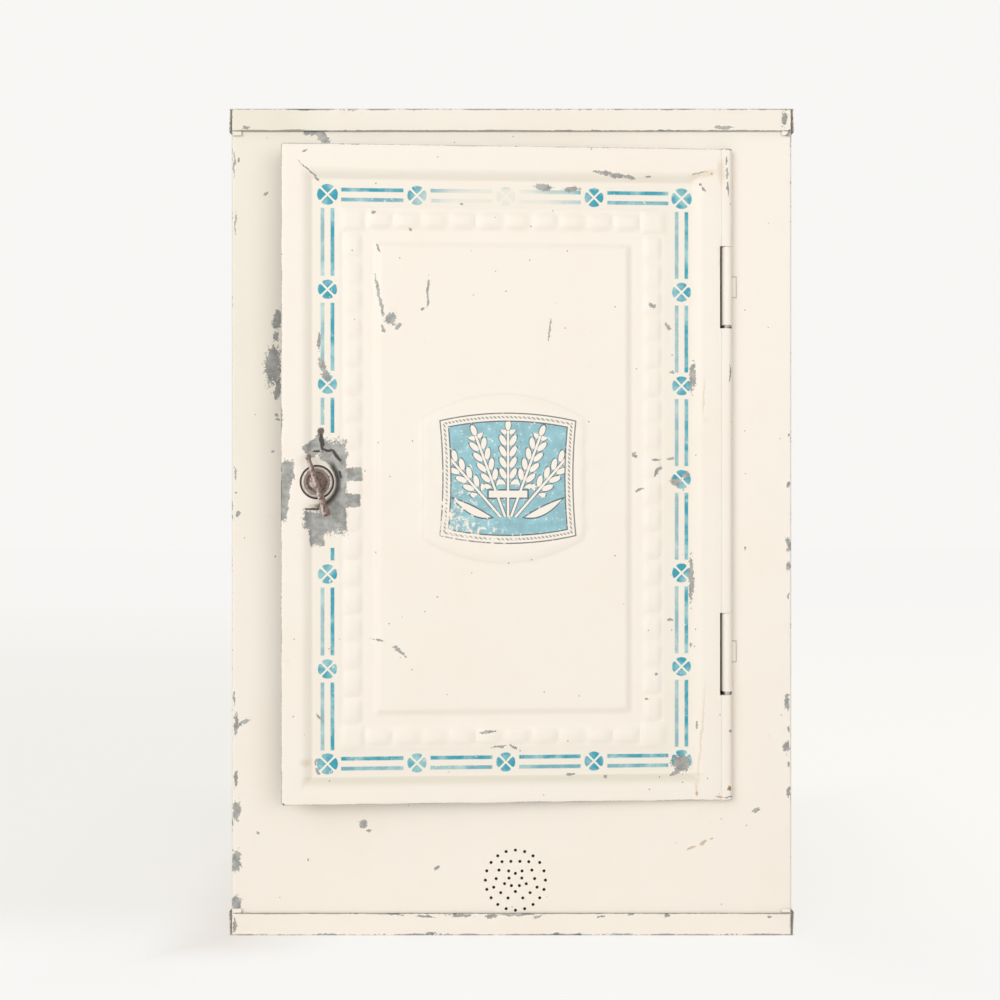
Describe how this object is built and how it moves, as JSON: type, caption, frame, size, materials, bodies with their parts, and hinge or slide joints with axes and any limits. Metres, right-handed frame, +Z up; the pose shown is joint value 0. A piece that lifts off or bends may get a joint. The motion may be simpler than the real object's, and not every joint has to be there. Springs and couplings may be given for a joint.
{
  "type": "bread cabinet",
  "caption": "Upright cream-painted sheet-steel bread cabinet: embossed hinged door with a stencilled border, thumb-turn latch, punched vent, slip-on end caps and perforated shelves.",
  "frame": {"origin": "middle of the underside, on the surface that the case stands on", "axes": "+Z up, the door faces -Y, +X to the right as the door is faced"},
  "size_m": [0.4366, 0.3658, 0.638],
  "materials": {
    "cream_paint": "aged cream enamel, chipped to grey metal at the edges, with a blue stencilled border on the door",
    "galvanised_sheet": "dull galvanised sheet",
    "steel_wire": "dull steel rod",
    "aged_steel": "brown, worn steel with traces of plating"
  },
  "bodies": {
    "case": {"front_panel": "cream_paint", "left_side": "cream_paint", "right_side": "cream_paint", "back_panel": "cream_paint", "top_cap": "cream_paint", "bottom_cap": "cream_paint", "lower_shelf": "galvanised_sheet", "middle_shelf": "galvanised_sheet", "upper_shelf": "galvanised_sheet", "left_lower_ledge": "galvanised_sheet", "right_lower_ledge": "galvanised_sheet", "left_middle_ledge": "galvanised_sheet", "right_middle_ledge": "galvanised_sheet", "left_upper_ledge": "galvanised_sheet", "right_upper_ledge": "galvanised_sheet", "ledge_rivets": "cream_paint", "upper_hinge_leaf": "cream_paint", "lower_hinge_leaf": "cream_paint", "upper_hinge_pin": "steel_wire", "lower_hinge_pin": "steel_wire", "hinge_rivets": "cream_paint"},
    "door": {"door_panel": "cream_paint", "latch_rosette": "aged_steel"},
    "latch": {"latch_handle": "aged_steel", "latch_spindle": "aged_steel", "latch_sleeve": "aged_steel", "latch_cam": "aged_steel", "latch_nut": "aged_steel"}
  },
  "joints": [
    {"name": "door_swing", "type": "hinge", "parent": "case", "child": "door", "pos_m": [0.16535, -0.1675, 0.3555], "axis": [0, 0, 1], "range_deg": [-3.2, 161.8]},
    {"name": "latch_turn", "type": "hinge", "parent": "door", "child": "latch", "pos_m": [-0.14696, -0.18496, 0.3495], "axis": [-0.0558, 0.9984, 0], "range_deg": [0, 107.7]}
  ]
}
